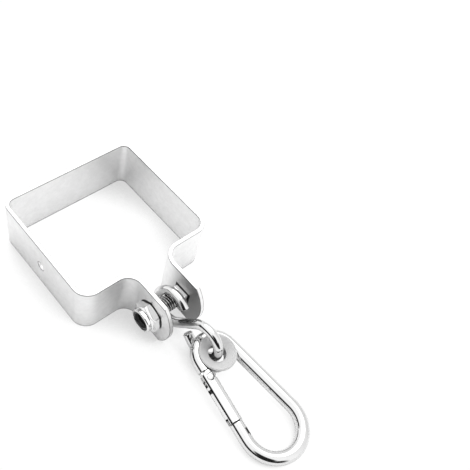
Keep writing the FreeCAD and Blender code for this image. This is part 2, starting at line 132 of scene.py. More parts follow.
def newGroup(name, inputs, outputs):
    group = bpy.data.node_groups.new(name, "ShaderNodeTree")
    for socketName, kind, value in inputs:
        made = group.interface.new_socket(name=socketName, in_out="INPUT", socket_type=kind)
        made.default_value = value
    for socketName, kind in outputs:
        group.interface.new_socket(name=socketName, in_out="OUTPUT", socket_type=kind)
    entry = addNode(group, "NodeGroupInput", (-1500, 0))
    leave = addNode(group, "NodeGroupOutput", (900, 0))
    return group, entry, leave


def placeGroup(tree, group, place, **values):
    made = addNode(tree, "ShaderNodeGroup", place, node_tree=group)
    return setInputs(made, **values)


def newMaterial(name):
    material = bpy.data.materials.new(name)
    material.use_nodes = True
    tree = material.node_tree
    shader = tree.nodes["Principled BSDF"]
    return material, tree, shader


def dressNode(name, material):
    piece = nodes[name]
    if not piece.material_slots:
        piece.data.materials.append(material)
    for holder in piece.material_slots:
        holder.material = material


def meshPiece(name, mesh, material, body):
    piece = bpy.data.objects.new(name, mesh)
    bpy.context.scene.collection.objects.link(piece)
    piece.data.materials.append(material)
    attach(piece, body)
    return piece


# camera, set where the photograph was taken from

cameraValues = {
    "place": (-0.15541, -0.31944, -0.18670),
    "right": (0.7744, -0.1068, -0.6236),
    "down": (-0.4582, 0.5851, -0.6691),
    "sensorWidth": 36.0,
    "lens": 48.41,
    "shiftX": 0.1743,
    "shiftY": 0.0210,
    "clipStart": 0.01,
    "clipEnd": 20.0,
}


def placeCamera(values):
    data = bpy.data.cameras.new("studioCamera")
    data.sensor_width = values["sensorWidth"]
    data.lens = values["lens"]
    data.shift_x = values["shiftX"]
    data.shift_y = values["shiftY"]
    data.clip_start = values["clipStart"]
    data.clip_end = values["clipEnd"]
    camera = bpy.data.objects.new("studioCamera", data)
    bpy.context.scene.collection.objects.link(camera)
    right = Vector(values["right"]).normalized()
    up = -Vector(values["down"])
    up = (up - right * up.dot(right)).normalized()
    back = right.cross(up)
    turn = Matrix((right, up, back)).transposed().to_4x4()
    camera.matrix_world = Matrix.Translation(values["place"]) @ turn
    bpy.context.scene.camera = camera


placeCamera(cameraValues)
print("camera placed, lens", cameraValues["lens"])


# studio: a white tent with a low dark room on one side and a dark stand near the camera,
# dimmer from the other side and from below the table, and one soft key light

tentValues = {
    "strength": 1.26,
    "shownStrength": 1.02,  # what the camera sees behind the object
    "tableUp": (0.0, -1.0, 0.0),  # away from the table that the hook lies on
    "roomTowards": (-0.96, 0.0, -0.28),
    "roomSpread": 0.24,
    "roomSpreadSoft": 0.12,
    "roomLow": -0.06,
    "roomLowSoft": 0.03,
    "roomHigh": 0.50,
    "roomHighSoft": 0.10,
    "roomTone": 0.02,
    "standTowards": (-0.50, -0.60, -0.62),
    "standInner": 0.965,
    "standOuter": 0.90,
    "sideTowards": (0.97, 0.0, 0.24),
    "sideEnd": 0.85,
    "sideShare": 0.74,
    "underEnd": -0.10,
    "underShare": 0.60,
}


def towardsNode(tree, place, source, direction):
    # how far a direction points towards another, from minus one to one
    return vectorNode(tree, place, "DOT_PRODUCT", source, Vector(direction).normalized())


def buildTent(values):
    world = bpy.data.worlds.new("whiteTent")
    world.use_nodes = True
    bpy.context.scene.world = world
    tree = world.node_tree
    tree.nodes.clear()
    leave = addNode(tree, "ShaderNodeOutputWorld", (1100, 0))
    where = addNode(tree, "ShaderNodeTexCoord", (-1100, 0)).outputs["Generated"]
    height = towardsNode(tree, (-900, 200), where, values["tableUp"])

    room = towardsNode(tree, (-900, -200), where, values["roomTowards"])
    middle, soft = values["roomSpread"], values["roomSpreadSoft"]
    room = rampNode(tree, (-650, -250), room, middle - soft, middle + soft)
    middle, soft = values["roomHigh"], values["roomHighSoft"]
    notHigh = rampNode(tree, (-650, 350), height, middle - soft, middle + soft, 1.0, 0.0)
    middle, soft = values["roomLow"], values["roomLowSoft"]
    notLow = rampNode(tree, (-650, 50), height, middle - soft, middle + soft)
    band = timesNode(tree, (-400, 200), notHigh, notLow)
    room = timesNode(tree, (-200, 50), band, room)
    stand = towardsNode(tree, (-900, -500), where, values["standTowards"])
    stand = rampNode(tree, (-650, -500), stand, values["standOuter"], values["standInner"])
    dark = mathNode(tree, (-100, -200), "MAXIMUM", room, stand)
    tone = rampNode(
        tree, (0, 50), dark, 0.0, 1.0, values["strength"], values["roomTone"], soft=False
    )

    side = towardsNode(tree, (-900, -750), where, values["sideTowards"])
    side = rampNode(tree, (-650, -750), side, 0.0, values["sideEnd"], 1.0, values["sideShare"])
    under = rampNode(
        tree, (-650, -1000), height, values["underEnd"], 0.0, values["underShare"], 1.0
    )
    dimmer = timesNode(tree, (-400, -850), side, under)

    lit = addNode(tree, "ShaderNodeBackground", (300, 100))
    setInputs(lit, Color=grey(1.0))
    feed(tree, lit.inputs["Strength"], timesNode(tree, (150, -50), tone, dimmer))
    shown = addNode(tree, "ShaderNodeBackground", (300, -100))
    setInputs(shown, Color=grey(1.0), Strength=values["shownStrength"])
    seen = addNode(tree, "ShaderNodeLightPath", (300, 350)).outputs["Is Camera Ray"]
    both = mixShaders(tree, (700, 0), seen, lit.outputs[0], shown.outputs[0])
    tree.links.new(both, leave.inputs["Surface"])


# floor: the table behind the hook, clear to the camera but for a soft shadow near the object;
# for all other rays it is pale paper, which glows where a piece lies on it

floorValues = {
    "name": "paleFloor",
    "placeY": 0.0176,
    "size": 3.0,
    "color": grey(0.93),
    "rough": 0.9,
    "shine": 0.1,
    "glow": 0.90,
    "glowReach": 0.0010,
    "shadowFrom": (0.55, -0.82, 0.10),
    "shadowReach": 0.038,
    "shadowSamples": 16,
    "shadowFull": 0.18,
    "shadowNone": 0.50,
    "shadowDepth": 0.38,
}


def buildFloor(values):
    material, tree, shader = newMaterial("palePaper")
    setInputs(shader, Base_Color=values["color"], Roughness=values["rough"])
    setInputs(shader, Specular_IOR_Level=values["shine"])
    path = addNode(tree, "ShaderNodeLightPath", (-600, 600))
    glow = addNode(tree, "ShaderNodeEmission", (0, -250))
    setInputs(glow, Strength=values["glow"])
    reach = path.outputs["Ray Length"]
    further = mathNode(tree, (-300, 600), "GREATER_THAN", reach, values["glowReach"])
    paper = mixShaders(tree, (300, 0), further, glow.outputs[0], shader.outputs[0])

    x, y, z = values["shadowFrom"]
    towards = addNode(tree, "ShaderNodeCombineXYZ", (-900, 300))
    setInputs(towards, X=x, Y=y, Z=z)
    samples = values["shadowSamples"]
    sky = addNode(tree, "ShaderNodeAmbientOcclusion", (-700, 300), samples=samples)
    setInputs(sky, Distance=values["shadowReach"])
    tree.links.new(towards.outputs[0], sky.inputs["Normal"])
    full, none = values["shadowFull"], values["shadowNone"]
    shadow = rampNode(
        tree, (-450, 300), sky.outputs["AO"], full, none, values["shadowDepth"], 0.0
    )
    clear = addNode(tree, "ShaderNodeBsdfTransparent", (0, 300)).outputs[0]
    black = addNode(tree, "ShaderNodeEmission", (0, 150))
    setInputs(black, Strength=0.0)
    shaded = mixShaders(tree, (300, 250), shadow, clear, black.outputs[0])

    front = mixShaders(tree, (550, 100), path.outputs["Is Camera Ray"], paper, shaded)
    behind = addNode(tree, "ShaderNodeNewGeometry", (300, 500)).outputs["Backfacing"]
    both = mixShaders(tree, (800, 200), behind, front, clear)
    tree.links.new(both, tree.nodes["Material Output"].inputs["Surface"])

    half = values["size"] / 2.0
    y = values["placeY"]
    corners = [(-half, y, -half), (half, y, -half), (half, y, half), (-half, y, half)]
    mesh = bpy.data.meshes.new(values["name"])
    mesh.from_pydata(corners, [], [(0, 1, 2, 3)])
    mesh.materials.append(material)
    floor = bpy.data.objects.new(values["name"], mesh)
    bpy.context.scene.collection.objects.link(floor)


keyValues = {
    "name": "keySoftbox",
    "place": (0.32, -0.86, 0.14),
    "aim": (0.0, 0.0, -0.06),
    "size": 1.0,
    "power": 3.2,
}


def buildKey(values):
    data = bpy.data.lights.new(values["name"], "AREA")
    data.shape = "DISK"
    data.size = values["size"]
    data.energy = values["power"]
    key = bpy.data.objects.new(values["name"], data)
    bpy.context.scene.collection.objects.link(key)
    key.location = values["place"]
    aim = Vector(values["aim"]) - Vector(values["place"])
    key.rotation_mode = "QUATERNION"
    key.rotation_quaternion = aim.to_track_quat("-Z", "Y")


buildTent(tentValues)
buildFloor(floorValues)
buildKey(keyValues)
view = bpy.context.scene.view_settings
view.view_transform = "Standard"
view.look = "None"
view.exposure = 0.0
view.gamma = 1.0
print("studio built")


# shared effects: each is a group that gives a mask, a value or a normal

effectValues = {
    "cloudDetail": 4.0,
    "cloudRough": 0.6,
    "cloudWarp": 0.4,
    "fineTimes": 5.3,  # how much finer the second clouds are
    "fineDetail": 2.0,
    "fineRough": 0.5,
    "fineShare": 0.35,
    "lineDetail": 3.0,
    "lineRough": 0.55,
    "edgeStart": 0.515,  # pointiness where an edge begins to count as worn
    "edgeFull": 0.60,
    "chipScale": 900.0,
    "chipDetail": 3.0,
    "chipRough": 0.6,
    "creviceSamples": 8,
    "creviceFull": 0.35,
    "creviceNone": 0.85,
    "bevelSamples": 8,
    "bentFull": 0.90,  # likeness of the eased and the plain normal
    "bentNone": 0.995,
    "flatFull": 0.3,  # how far a strap's face may turn towards its cut edge
    "flatNone": 0.6,
    "borderInner": -0.00005,  # soft border of every painted mark
    "borderOuter": 0.00010,
    "neckNear": 0.0004,  # how far from the ear's face the square gap is painted
    "neckFar": 0.0008,
    "faceHalf": 0.0003,
}


def floatSocket(name, value):
    return name, "NodeSocketFloat", value


def vectorSocket(name, value):
    return name, "NodeSocketVector", value


maskSocket = ("Mask", "NodeSocketFloat")


def objectPlace(tree, place):
    return addNode(tree, "ShaderNodeTexCoord", place).outputs["Object"]


def buildMottle(values):
    # soft zinc patches: a mask of light and dark clouds and the height that goes with them
    group, entry, leave = newGroup(
        "zincMottle",
        [floatSocket("Scale", 300.0), floatSocket("Contrast", 1.0)],
        [("Patches", "NodeSocketFloat"), ("Height", "NodeSocketFloat")],
    )
    where = objectPlace(group, (-900, 300))
    scale = entry.outputs["Scale"]
    clouds = noiseNode(
        group, (-600, 200), where, scale,
        values["cloudDetail"], values["cloudRough"], values["cloudWarp"],
    )
    scale = timesNode(group, (-750, -150), scale, values["fineTimes"])
    fine = noiseNode(
        group, (-600, -150), where, scale, values["fineDetail"], values["fineRough"]
    )
    share = values["fineShare"]
    mixed = mathNode(group, (-350, 100), "MULTIPLY_ADD", fine, share, clouds)
    middle = 0.5 * (1.0 + share)
    centred = mathNode(group, (-150, 100), "SUBTRACT", mixed, middle)
    strong = timesNode(group, (50, 100), centred, entry.outputs["Contrast"])
    patches = mathNode(group, (250, 100), "ADD", strong, 0.5, clamp=True)
    group.links.new(patches, leave.inputs["Patches"])
    group.links.new(mixed, leave.inputs["Height"])
    return group


def buildRollLines(values):
    # fine lines drawn out along one direction, as rolling or polishing leaves them
    group, entry, leave = newGroup(
        "rollLines",
        [vectorSocket("Stretch", (1.0, 1.0, 1.0)), floatSocket("Scale", 400.0)],
        [("Lines", "NodeSocketFloat")],
    )
    where = objectPlace(group, (-900, 300))
    drawn = vectorNode(group, (-650, 200), "MULTIPLY", where, entry.outputs["Stretch"])
    lines = noiseNode(
        group, (-400, 200), drawn, entry.outputs["Scale"],
        values["lineDetail"], values["lineRough"],
    )
    group.links.new(lines, leave.inputs["Lines"])
    return group


def buildEdgeRubAndShade(values):
    # a mask of the outer edges, broken up a little, where handling has rubbed the zinc; the nut
    # uses it to paint near-black lines along its edges, which are painted shade
    group, entry, leave = newGroup(
        "edgeRubAndShade", [floatSocket("Amount", 0.5), floatSocket("Breakup", 0.4)], [maskSocket]
    )
    bent = addNode(group, "ShaderNodeNewGeometry", (-900, 300)).outputs["Pointiness"]
    edges = rampNode(
        group, (-650, 300), bent, values["edgeStart"], values["edgeFull"], soft=False
    )
    chips = noiseNode(
        group, (-650, -150), objectPlace(group, (-900, -150)), values["chipScale"],
        values["chipDetail"], values["chipRough"],
    )
    less = timesNode(group, (-400, -150), chips, entry.outputs["Breakup"])
    broken = mathNode(group, (-150, 100), "SUBTRACT", edges, less, clamp=True)
    amount = entry.outputs["Amount"]
    scaled = mathNode(group, (100, 100), "MULTIPLY", broken, amount, clamp=True)
    group.links.new(scaled, leave.inputs["Mask"])
    return group


def buildCreviceShade(values):
    # painted shade: a mask of the narrow places where two surfaces meet and light hardly gets in,
    # to darken the colour there
    group, entry, leave = newGroup(
        "creviceShadeMask", [floatSocket("Reach", 0.001), floatSocket("Amount", 0.8)], [maskSocket]
    )
    samples = values["creviceSamples"]
    openness = addNode(group, "ShaderNodeAmbientOcclusion", (-600, 200), samples=samples)
    group.links.new(entry.outputs["Reach"], openness.inputs["Distance"])
    full, none = values["creviceFull"], values["creviceNone"]
    closed = rampNode(group, (-300, 200), openness.outputs["AO"], full, none, 1.0, 0.0)
    scaled = timesNode(group, (0, 200), closed, entry.outputs["Amount"])
    group.links.new(scaled, leave.inputs["Mask"])
    return group


def buildEdgeLine(values):
    # eased edges: the rounded normal, and a thin mask along every sharp edge that paints a dark
    # line there as painted shade
    group, entry, leave = newGroup(
        "edgeLine",
        [floatSocket("Radius", 0.0003), floatSocket("Width", 0.0006), floatSocket("Amount", 0.5)],
        [maskSocket, ("Normal", "NodeSocketVector")],
    )
    samples = values["bevelSamples"]
    eased = addNode(group, "ShaderNodeBevel", (-600, 200), samples=samples)
    group.links.new(entry.outputs["Radius"], eased.inputs["Radius"])
    wide = addNode(group, "ShaderNodeBevel", (-600, 0), samples=samples)
    group.links.new(entry.outputs["Width"], wide.inputs["Radius"])
    plain = addNode(group, "ShaderNodeNewGeometry", (-600, -200)).outputs["Normal"]
    alike = vectorNode(group, (-350, 100), "DOT_PRODUCT", wide.outputs["Normal"], plain)
    line = rampNode(group, (-100, 100), alike, values["bentFull"], values["bentNone"], 1.0, 0.0)
    scaled = timesNode(group, (150, 100), line, entry.outputs["Amount"])
    group.links.new(scaled, leave.inputs["Mask"])
    group.links.new(eased.outputs["Normal"], leave.inputs["Normal"])
    return group


def sizeAlong(tree, place, source, axis):
    # how far a vector reaches along one axis, on either side
    parts = addNode(tree, "ShaderNodeSeparateXYZ", place)
    tree.links.new(source, parts.inputs[0])
    return mathNode(tree, (place[0] + 200, place[1]), "ABSOLUTE", parts.outputs[axis])


def buildCutEdge(values):
    # painted shade: a mask of the thin dark line where a flat strap's faces meet its cut edges
    group, entry, leave = newGroup(
        "cutEdge",
        [floatSocket("Amount", 0.5), floatSocket("Start", 0.0161), floatSocket("End", 0.0168)],
        [maskSocket],
    )
    where = addNode(group, "ShaderNodeTexCoord", (-900, 200))
    side = sizeAlong(group, (-700, 200), where.outputs["Normal"], "Y")
    flat = rampNode(group, (-300, 350), side, values["flatFull"], values["flatNone"], 1.0, 0.0)
    away = sizeAlong(group, (-700, -200), where.outputs["Object"], "Y")
    start, end = entry.outputs["Start"], entry.outputs["End"]
    line = rampNode(group, (-300, -200), away, start, end, soft=False)
    edge = timesNode(group, (0, 200), flat, line)
    scaled = timesNode(group, (250, 200), edge, entry.outputs["Amount"])
    group.links.new(scaled, leave.inputs["Mask"])
    return group


def withinNode(tree, place, source, half):
    # one where the value is nearer to zero than half, with a narrow soft border
    size = mathNode(tree, place, "ABSOLUTE", source)
    inside = mathNode(tree, (place[0] + 150, place[1]), "SUBTRACT", half, size)
    inner, outer = effectValues["borderInner"], effectValues["borderOuter"]
    return rampNode(tree, (place[0] + 300, place[1]), inside, inner, outer)


def offsetNode(tree, centre):
    return vectorNode(tree, (-1100, 200), "SUBTRACT", objectPlace(tree, (-1300, 200)), centre)


def buildShadeRing():
    # painted shade: a mask of a short ring or disc round an axis, darkening a joint, a notch or a
    # hole
    group, entry, leave = newGroup(
        "shadeRingMask",
        [
            floatSocket("Amount", 0.9),
            vectorSocket("Centre", (0.0, 0.0, 0.0)),
            vectorSocket("Axis", (0.0, 0.0, 1.0)),
            floatSocket("Half", 0.001),
            floatSocket("Inner", -1.0),
            floatSocket("Outer", 0.001),
        ],
        [maskSocket],
    )
    offset = offsetNode(group, entry.outputs["Centre"])
    axis = entry.outputs["Axis"]
    along = vectorNode(group, (-850, 350), "DOT_PRODUCT", offset, axis)
    slab = withinNode(group, (-600, 350), along, entry.outputs["Half"])
    across = vectorNode(group, (-850, 0), "CROSS_PRODUCT", offset, axis)
    reach = vectorNode(group, (-650, 0), "LENGTH", across)
    disc = withinNode(group, (-450, 0), reach, entry.outputs["Outer"])
    beyond = mathNode(group, (-450, -250), "GREATER_THAN", reach, entry.outputs["Inner"])
    mask = timesNode(group, (0, 200), slab, disc)
    mask = timesNode(group, (200, 200), mask, beyond)
    mask = timesNode(group, (400, 200), mask, entry.outputs["Amount"])
    group.links.new(mask, leave.inputs["Mask"])
    return group


def buildSquareSeam(values):
    # painted shade: a dark mask along the narrow gap round a square neck that stands along X
    group, entry, leave = newGroup(
        "squareSeam",
        [
            floatSocket("Amount", 0.9),
            vectorSocket("Centre", (0.0, 0.0, 0.0)),
            floatSocket("Inner", 0.005),
            floatSocket("Outer", 0.0056),
        ],
        [maskSocket],
    )
    parts = addNode(group, "ShaderNodeSeparateXYZ", (-900, 200))
    group.links.new(offsetNode(group, entry.outputs["Centre"]), parts.inputs[0])
    sizeY = mathNode(group, (-700, 200), "ABSOLUTE", parts.outputs["Y"])
    sizeZ = mathNode(group, (-700, 0), "ABSOLUTE", parts.outputs["Z"])
    largest = mathNode(group, (-500, 200), "MAXIMUM", sizeY, sizeZ)
    square = withinNode(group, (-300, 200), largest, entry.outputs["Outer"])
    beyond = mathNode(group, (-300, -50), "GREATER_THAN", largest, entry.outputs["Inner"])
    near, far = values["neckNear"], values["neckFar"]
    front = rampNode(group, (-300, -300), parts.outputs["X"], near, far, 1.0, 0.0)
    mask = timesNode(group, (200, 200), square, beyond)
    mask = timesNode(group, (400, 200), mask, front)
    mask = timesNode(group, (600, 200), mask, entry.outputs["Amount"])
    group.links.new(mask, leave.inputs["Mask"])
    return group


def buildFaceShade(values):
    # painted shade: a mask that darkens the inner face of one ear, growing downwards, standing in
    # for the shade and dark reflections there
    group, entry, leave = newGroup(
        "faceShade",
        [
            floatSocket("Amount", 0.5),
            floatSocket("Plane", 0.0),
            floatSocket("Top", 0.0),
            floatSocket("Bottom", -0.01),
        ],
        [maskSocket],
    )
    parts = addNode(group, "ShaderNodeSeparateXYZ", (-1100, 200))
    group.links.new(objectPlace(group, (-1300, 200)), parts.inputs[0])
    plane = entry.outputs["Plane"]
    offset = mathNode(group, (-850, 350), "SUBTRACT", parts.outputs["X"], plane)
    slab = withinNode(group, (-600, 350), offset, values["faceHalf"])
    top, bottom = entry.outputs["Top"], entry.outputs["Bottom"]
    depth = rampNode(group, (-600, 0), parts.outputs["Z"], top, bottom)
    mask = timesNode(group, (0, 200), slab, depth)
    mask = timesNode(group, (200, 200), mask, entry.outputs["Amount"])
    group.links.new(mask, leave.inputs["Mask"])
    return group


def buildThreadShade():
    # painted shade: a mask that grows towards the line along X, darkening a thread's roots
    group, entry, leave = newGroup(
        "threadShadeMask",
        [
            vectorSocket("Axis", (0.0, 0.0, 0.0)),
            floatSocket("Root", 0.0041),
            floatSocket("Crest", 0.0049),
        ],
        [maskSocket],
    )
    where = objectPlace(group, (-900, 200))
    offset = vectorNode(group, (-700, 200), "SUBTRACT", where, entry.outputs["Axis"])
    across = vectorNode(group, (-500, 200), "MULTIPLY", offset, (0.0, 1.0, 1.0))
    reach = vectorNode(group, (-300, 200), "LENGTH", across)
    root, crest = entry.outputs["Root"], entry.outputs["Crest"]
    mask = rampNode(group, (0, 200), reach, root, crest, 1.0, 0.0, soft=False)
    group.links.new(mask, leave.inputs["Mask"])
    return group


mottleGroup = buildMottle(effectValues)
rollGroup = buildRollLines(effectValues)
rubAndShadeGroup = buildEdgeRubAndShade(effectValues)
edgeGroup = buildEdgeLine(effectValues)
cutEdgeGroup = buildCutEdge(effectValues)
threadGroup = buildThreadShade()
creviceGroup = buildCreviceShade(effectValues)
shadeRingGroup = buildShadeRing()
squareSeamGroup = buildSquareSeam(effectValues)
faceShadeGroup = buildFaceShade(effectValues)
print("shared effects built")


# metal finishes

def zincFinish(name, values):
    material, tree, shader = newMaterial(name)
    setInputs(shader, Metallic=1.0)
    mottle = placeGroup(
        tree, mottleGroup, (-900, 200),
        Scale=values["patchScale"], Contrast=values["patchContrast"],
    )
    lines = placeGroup(
        tree, rollGroup, (-900, -150),
        Stretch=values["lineStretch"], Scale=values["lineScale"],
    )
    wear = placeGroup(
        tree, rubAndShadeGroup, (-900, 500),
        Amount=values["rubAndShadeAmount"], Breakup=values["rubAndShadeBreakup"],
    )
    crevice = placeGroup(
        tree, creviceGroup, (-350, 850),
        Reach=values["creviceReach"], Amount=values["creviceAmount"],
    )
    eased = placeGroup(
        tree, edgeGroup, (-600, -500),
        Radius=values["edgeRadius"], Width=values["edgeWidth"], Amount=values["edgeAmount"],
    )

    patches = mottle.outputs["Patches"]
    color = mixTones(tree, (-600, 250), patches, values["darkTone"], values["lightTone"])
    # rubbed edges lighten the colour; on the nut the same mask paints a near-black edge line, which
    # is painted shade
    color = mixTones(tree, (-350, 300), wear.outputs["Mask"], color, values["rubAndShadeTone"])
    # painted shade in the crevices
    color = mixTones(tree, (-150, 600), crevice.outputs["Mask"], color, values["creviceShadeTone"])
    # painted shade: a dark line along every sharp edge
    color = mixTones(tree, (0, 350), eased.outputs["Mask"], color, values["edgeShadeTone"])
    # painted shade at each mark
    for row, (group, inputs, tone) in enumerate(values["marks"]):
        mark = placeGroup(tree, group, (-350, 1050 + 250 * row), **inputs)
        color = mixTones(tree, (50, 600 + 250 * row), mark.outputs["Mask"], color, tone)
    tree.links.new(color, shader.inputs["Base Color"])

    share = values["patchShare"]
    fromPatches = timesNode(tree, (-850, 0), patches, share)
    dull = mathNode(
        tree, (-750, -50), "MULTIPLY_ADD", lines.outputs["Lines"], 1.0 - share, fromPatches
    )
    rough = rampNode(
        tree, (-600, -50), dull, 0.0, 1.0, values["roughLow"], values["roughHigh"], soft=False
    )
    tree.links.new(rough, shader.inputs["Roughness"])

    relief = mathNode(
        tree, (-600, -300), "MULTIPLY_ADD",
        lines.outputs["Lines"], values["lineRelief"], mottle.outputs["Height"],
    )
    bump = addNode(tree, "ShaderNodeBump", (-300, -300))
    setInputs(bump, Strength=values["bumpStrength"], Distance=values["bumpDepth"])
    tree.links.new(relief, bump.inputs["Height"])
    tree.links.new(eased.outputs["Normal"], bump.inputs["Normal"])
    tree.links.new(bump.outputs["Normal"], shader.inputs["Normal"])
    return material


boltLine = -0.06425  # height of the bolt's axis
gateAhead = (-0.142759, 0.103458, -0.984335)  # along the closed gate, from hinge to nose
gatePin = (0.0, 0.994522, 0.104528)  # along the rivet


def ringMark(centre, axis, half, inner, outer, amount, tone):
    # painted shade: a dark ring about an axis, or a dark disc where inner is below zero
    inputs = {
        "Amount": amount,
        "Centre": centre,
        "Axis": axis,
        "Half": half,
        "Inner": inner,
        "Outer": outer,
    }
    return shadeRingGroup, inputs, grey(tone)


# each mark is a group, its inputs and the tone that it paints; all the marks below are painted
# shade
cutEdgeLines = (cutEdgeGroup, {"Amount": 0.8, "Start": 0.0161, "End": 0.0169}, grey(0.26))
farEarShade = (
    faceShadeGroup,
    {"Amount": 0.54, "Plane": 0.0093, "Top": -0.0505, "Bottom": -0.0640},
    grey(0.16),
)
squareGap = (
    squareSeamGroup,
    {"Amount": 1.0, "Centre": (0.0093, 0.0, boltLine), "Inner": 0.0049, "Outer": 0.0063},
    grey(0.01),
)
nutShadow = ringMark(
    (-0.0142, 0.0, boltLine), (1.0, 0.0, 0.0), 0.0005, 0.0070, 0.0098, amount=0.8, tone=0.03
)
threadRoots = (
    threadGroup,
    {"Axis": (0.0, 0.0, boltLine), "Root": 0.00425, "Crest": 0.00485},
    grey(0.03),
)
noseGap = ringMark(
    (-0.014223, 0.010272, -0.140385), gateAhead, 0.00045, -1.0, 0.0060, amount=0.95, tone=0.02
)
tongueGap = ringMark(
    (-0.015093, 0.006194, -0.119759), (-0.8876, -0.4534, 0.0811),
    0.0016, -1.0, 0.0013, amount=0.97, tone=0.02,
)
noseNotch = ringMark(
    (-0.012852, 0.007782, -0.147652), gateAhead, 0.0018, -1.0, 0.0011, amount=0.95, tone=0.02
)
rivetRing = ringMark(
    (-0.010564, 0.007328, -0.112373), gatePin, 0.0060, 0.00215, 0.0040, amount=0.9, tone=0.02
)

strapFinish = {
    "darkTone": grey(0.82),
    "lightTone": grey(0.95),
    "rubAndShadeTone": grey(0.92),
    "rubAndShadeAmount": 0.0,
    "rubAndShadeBreakup": 0.35,
    "creviceReach": 0.0022,
    "creviceAmount": 0.9,
    "creviceShadeTone": grey(0.06),
    "edgeRadius": 0.0004,
    "edgeWidth": 0.0010,
    "edgeAmount": 0.85,
    "edgeShadeTone": grey(0.16),
    "marks": (cutEdgeLines, farEarShade, squareGap, nutShadow),
    "patchScale": 260.0,
    "patchContrast": 1.6,
    "patchShare": 0.5,  # the patches' share of the roughness, against the lines'
    "lineStretch": (1.0, 6.0, 1.0),
    "lineScale": 160.0,
    "lineRelief": 0.4,
    "roughLow": 0.34,
    "roughHigh": 0.48,
    "bumpStrength": 0.25,
    "bumpDepth": 0.00006,
}
wireFinish = {
    "darkTone": grey(0.66),
    "lightTone": grey(0.77),
    "rubAndShadeTone": grey(0.95),
    "rubAndShadeAmount": 0.5,
    "rubAndShadeBreakup": 0.35,
    "creviceReach": 0.0010,
    "creviceAmount": 0.95,
    "creviceShadeTone": grey(0.03),
    "edgeRadius": 0.00015,
    "edgeWidth": 0.0004,
    "edgeAmount": 0.4,
    "edgeShadeTone": grey(0.10),
    "marks": (),
    "patchScale": 220.0,
    "patchContrast": 1.0,
    "patchShare": 0.5,
    "lineStretch": (1.0, 1.0, 0.25),
    "lineScale": 500.0,
    "lineRelief": 0.6,
    "roughLow": 0.05,
    "roughHigh": 0.10,
    "bumpStrength": 0.10,
    "bumpDepth": 0.00004,
}
boltFinish = dict(
    wireFinish,
    darkTone=grey(0.82),
    lightTone=grey(0.94),
    edgeWidth=0.0006,
    edgeAmount=0.85,
    edgeShadeTone=grey(0.03),
    roughLow=0.06,
    roughHigh=0.11,
)
threadFinish = dict(boltFinish, marks=(threadRoots,))
# painted shade: the nut's sharp edges get a near-black line through the rubbed-edge mask
nutFinish = dict(boltFinish, rubAndShadeTone=grey(0.05), rubAndShadeAmount=0.8)
gateFinish = dict(wireFinish, marks=(noseGap, tongueGap))
noseFinish = dict(wireFinish, marks=(noseGap, tongueGap, noseNotch))
rivetFinish = dict(wireFinish, marks=(rivetRing,))
springFinish = dict(
    wireFinish,
    darkTone=grey(0.55),
    lightTone=grey(0.68),
    roughLow=0.20,
    roughHigh=0.30,
)

galvanised = zincFinish("galvanisedStrap", strapFinish)
brightWire = zincFinish("brightWire", wireFinish)
gateWire = zincFinish("gateWire", gateFinish)
noseWire = zincFinish("noseWire", noseFinish)
rivetZinc = zincFinish("rivetZinc", rivetFinish)
zincNut = zincFinish("zincNut", nutFinish)
zincBolt = zincFinish("zincBolt", threadFinish)
springSteel = zincFinish("springSteel", springFinish)
metalNodes = {
    "clamp_strap": galvanised,
    "s_hook": brightWire,
    "gate_plunger": brightWire,
    "snap_hook_body": noseWire,
    "snap_gate": gateWire,
    "gate_rivet": rivetZinc,
    "gate_spring": springSteel,
}
for nodeName, finish in metalNodes.items():
    dressNode(nodeName, finish)
print("metal finishes on", len(metalNodes), "nodes")


# round and threaded pieces are rings of points about a line along X

def turnedRing(x, axisZ, steps, radiusAt):
    # radiusAt gives the radius at each share of a turn
    ring = []
    for k in range(steps):
        turn = k / steps
        angle = turn * fullTurn
        radius = radiusAt(turn)
        ring.append((x, radius * math.cos(angle), axisZ + radius * math.sin(angle)))
    return ring


def ringMesh(name, rings, closed):
    made = bmesh.new()
    loops = []
    for ring in rings:
        loops.append([made.verts.new(point) for point in ring])
    pairs = list(zip(loops[:-1], loops[1:]))
    if closed:
        pairs.append((loops[-1], loops[0]))
    for first, second in pairs:
        count = len(first)
        for k in range(count):
            after = (k + 1) % count
            made.faces.new((first[k], first[after], second[after], second[k]))
    if not closed:
        made.faces.new(loops[0][::-1])
        made.faces.new(loops[-1])
    bmesh.ops.recalc_face_normals(made, faces=made.faces)
    mesh = bpy.data.meshes.new(name)
    made.to_mesh(mesh)
    made.free()
    return mesh


def smoothByAngle(mesh, degrees):
    mesh.shade_smooth()
    mesh.set_sharp_from_angle(angle=math.radians(degrees))


def joinMeshes(name, meshes):
    made = bmesh.new()
    for mesh in meshes:
        made.from_mesh(mesh)
    joined = bpy.data.meshes.new(name)
    made.to_mesh(joined)
    made.free()
    for mesh in meshes:
        bpy.data.meshes.remove(mesh)
    return joined


# carriage bolt: rolled thread, square neck, low domed head

boltValues = {
    "crest": 0.00495,
    "root": 0.00412,
    "pitch": 0.0015,
    "crestHalf": 0.10,  # half of the crest's flat, as a share of the pitch's half
    "flankSpan": 0.72,
    "endRadius": 0.0040,
    "stepsPerPitch": 12,
    "stepsRound": 72,
    "neckSide": 0.0100,
    "neckLength": 0.0056,
    "neckRound": 0.0005,
    "neckRoundSteps": 3,
    "overlap": 0.0004,  # how far each part reaches into the next
    "headHeight": 0.0053,
    "headTrim": 0.00005,
    "headEdge": 0.0006,
    "rimRise": 0.0001,
    "rimInset": 0.0002,
    "undersideShare": 0.2,
    "domeRings": 24,
    "headStepsRound": 96,
    "smoothDegrees": 35.0,
}


def threadDepth(values, turns):
    share = turns - math.floor(turns)
    slope = abs(share - 0.5) * 2.0
    return min(1.0, max(0.0, (slope - values["crestHalf"]) / values["flankSpan"]))


